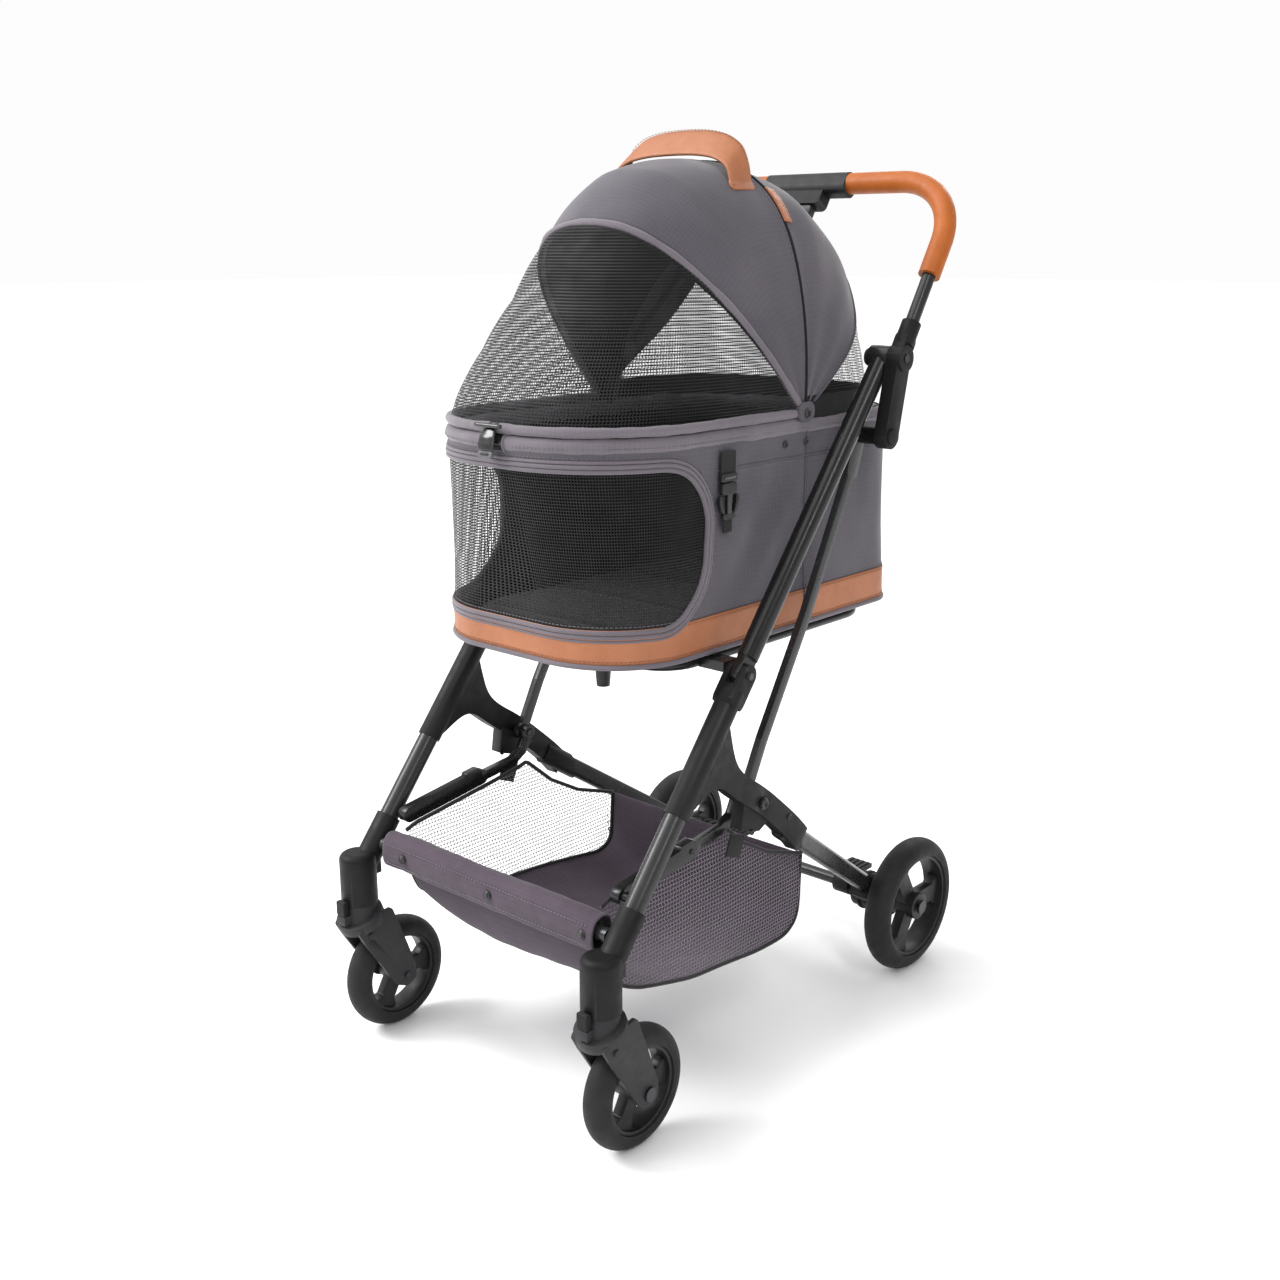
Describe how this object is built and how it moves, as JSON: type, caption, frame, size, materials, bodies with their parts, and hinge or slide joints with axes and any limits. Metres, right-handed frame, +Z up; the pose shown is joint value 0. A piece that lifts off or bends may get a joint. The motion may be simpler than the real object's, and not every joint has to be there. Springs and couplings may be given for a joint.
{
  "type": "pet stroller",
  "caption": "Folding four-wheeled pet stroller with swivelling front casters, lift-off fabric carrier with mesh hood, sling basket and padded U-shaped handle.",
  "frame": {"origin": "on the ground at the centre of the footprint box", "axes": "+Z up, -Y is the front where the casters are, +X the stroller's left"},
  "size_m": [0.468, 0.7197, 1.065],
  "materials": {
    "tyre": "matte moulded foam tyre",
    "wheel_plastic": "matte moulded",
    "castings": "matte fine grain",
    "small_plastic": "matte",
    "frame_metal": "satin black powder coat",
    "bolts": "black oxide",
    "grip_leather": "satin tan leatherette",
    "strap_leather": "satin tan leatherette",
    "basket_fabric": "woven polyester",
    "carrier_fabric": "woven polyester",
    "mesh": "open black mesh",
    "mat_fabric": "quilted pad"
  },
  "bodies": {
    "base": {"left_caster_socket": "castings", "right_caster_socket": "castings", "left_front_leg": "frame_metal", "right_front_leg": "frame_metal", "left_side_casting": "castings", "right_side_casting": "castings", "left_fold_collar": "castings", "right_fold_collar": "castings", "left_rear_leg": "frame_metal", "right_rear_leg": "frame_metal", "left_rear_hub": "castings", "right_rear_hub": "castings", "left_basket_rail": "frame_metal", "right_basket_rail": "frame_metal", "rear_crossbar": "frame_metal", "rear_axle_pins": "bolts", "frame_pins": "bolts", "front_crossbar": "frame_metal", "storage_basket": "basket_fabric", "cradle_frame": "frame_metal"},
    "left_caster": {"left_caster_fork": "castings", "left_front_axle": "bolts"},
    "left_lock": {"left_swivel_lock": "small_plastic"},
    "left_front_wheel": {"left_front_tyre": "tyre", "left_front_wheel_rim": "wheel_plastic"},
    "left_rear_wheel": {"left_rear_tyre": "tyre", "left_rear_wheel_rim": "wheel_plastic"},
    "left_brake": {"left_brake_pedal": "small_plastic"},
    "right_caster": {"right_caster_fork": "castings", "right_front_axle": "bolts"},
    "right_lock": {"right_swivel_lock": "small_plastic"},
    "right_front_wheel": {"right_front_tyre": "tyre", "right_front_wheel_rim": "wheel_plastic"},
    "right_rear_wheel": {"right_rear_tyre": "tyre", "right_rear_wheel_rim": "wheel_plastic"},
    "right_brake": {"right_brake_pedal": "small_plastic"},
    "upper_frame": {"left_upper_tube": "frame_metal", "right_upper_tube": "frame_metal", "arm_pins": "bolts"},
    "rear_links": {"left_rear_link": "frame_metal", "right_rear_link": "frame_metal"},
    "handle": {"handle_tube": "frame_metal", "left_handle_arm": "castings", "right_handle_arm": "castings", "left_grip": "grip_leather", "right_grip": "grip_leather", "button_housing": "castings"},
    "trigger": {"fold_trigger": "small_plastic"},
    "carrier": {"carrier_body": "carrier_fabric", "carrier_base": "small_plastic", "carrier_mat": "mat_fabric", "body_rim": "carrier_fabric", "canopy_main": "carrier_fabric", "carry_strap": "strap_leather", "side_buckles": "small_plastic"},
    "front_bow": {"canopy_front_bow": "frame_metal", "canopy_window": "mesh"},
    "hood_rim": {"canopy_rim": "carrier_fabric"},
    "latch": {"latch_clip": "small_plastic"}
  },
  "joints": [
    {"name": "left_caster_swivel", "type": "hinge", "parent": "base", "child": "left_caster", "pos_m": [0.2, -0.33, 0.15], "axis": [0, 0, 1], "continuous": true},
    {"name": "left_front_wheel_spin", "type": "hinge", "parent": "left_caster", "child": "left_front_wheel", "pos_m": [0.2, -0.282, 0.07], "axis": [1, 0, 0], "continuous": true},
    {"name": "left_rear_wheel_spin", "type": "hinge", "parent": "base", "child": "left_rear_wheel", "pos_m": [0.2, 0.27, 0.09], "axis": [1, 0, 0], "continuous": true},
    {"name": "left_swivel_lock_slide", "type": "slide", "parent": "left_caster", "child": "left_lock", "axis": [0, 0, 1], "range_m": [0, 0.005]},
    {"name": "left_brake_press", "type": "hinge", "parent": "base", "child": "left_brake", "pos_m": [0.1, 0.27, 0.09], "axis": [-1, 0, 0], "range_deg": [0, 22]},
    {"name": "right_caster_swivel", "type": "hinge", "parent": "base", "child": "right_caster", "pos_m": [-0.2, -0.33, 0.15], "axis": [0, 0, 1], "continuous": true},
    {"name": "right_front_wheel_spin", "type": "hinge", "parent": "right_caster", "child": "right_front_wheel", "pos_m": [-0.2, -0.282, 0.07], "axis": [1, 0, 0], "continuous": true},
    {"name": "right_rear_wheel_spin", "type": "hinge", "parent": "base", "child": "right_rear_wheel", "pos_m": [-0.2, 0.27, 0.09], "axis": [1, 0, 0], "continuous": true},
    {"name": "right_swivel_lock_slide", "type": "slide", "parent": "right_caster", "child": "right_lock", "axis": [0, 0, 1], "range_m": [0, 0.005]},
    {"name": "right_brake_press", "type": "hinge", "parent": "base", "child": "right_brake", "pos_m": [-0.1, 0.27, 0.09], "axis": [-1, 0, 0], "range_deg": [0, 22]},
    {"name": "frame_fold", "type": "hinge", "parent": "base", "child": "upper_frame", "pos_m": [0, -0.10534, 0.492], "axis": [-1, 0, 0], "range_deg": [0, 37]},
    {"name": "rear_link_swing", "type": "hinge", "parent": "base", "child": "rear_links", "pos_m": [0, -0.072, 0.335], "axis": [-1, 0, 0], "range_deg": [0, 38.45]},
    {"name": "handle_swing", "type": "hinge", "parent": "upper_frame", "child": "handle", "pos_m": [0, 0.155, 0.817], "axis": [1, 0, 0], "range_deg": [0, 73.93]},
    {"name": "fold_trigger_squeeze", "type": "slide", "parent": "handle", "child": "trigger", "axis": [0, 0.5373, 0.8434], "range_m": [0, 0.006], "stiffness_N_per_m": 400},
    {"name": "carrier_lift", "type": "slide", "parent": "base", "child": "carrier", "axis": [0, 0, 1], "range_m": [0, 0.12]},
    {"name": "canopy_open", "type": "hinge", "parent": "carrier", "child": "front_bow", "pos_m": [0, 0.058, 0.758], "axis": [-1, 0, 0], "range_deg": [0, 28], "deforming": ["canopy_main", "canopy_window"]},
    {"name": "rim_lift", "type": "hinge", "parent": "front_bow", "child": "hood_rim", "pos_m": [0, 0.058, 0.758], "axis": [-1, 0, 0], "range_deg": [0, 40.14]},
    {"name": "latch_clip_flip", "type": "hinge", "parent": "hood_rim", "child": "latch", "pos_m": [0, -0.282, 0.762], "axis": [-1, 0, 0], "range_deg": [0, 50]}
  ],
  "couplings": [
    {"joint": "rear_link_swing", "follows": "frame_fold", "ratio": 1.0365},
    {"joint": "handle_swing", "follows": "frame_fold", "ratio": 1.9955},
    {"joint": "rim_lift", "follows": "canopy_open", "ratio": 1.43}
  ]
}
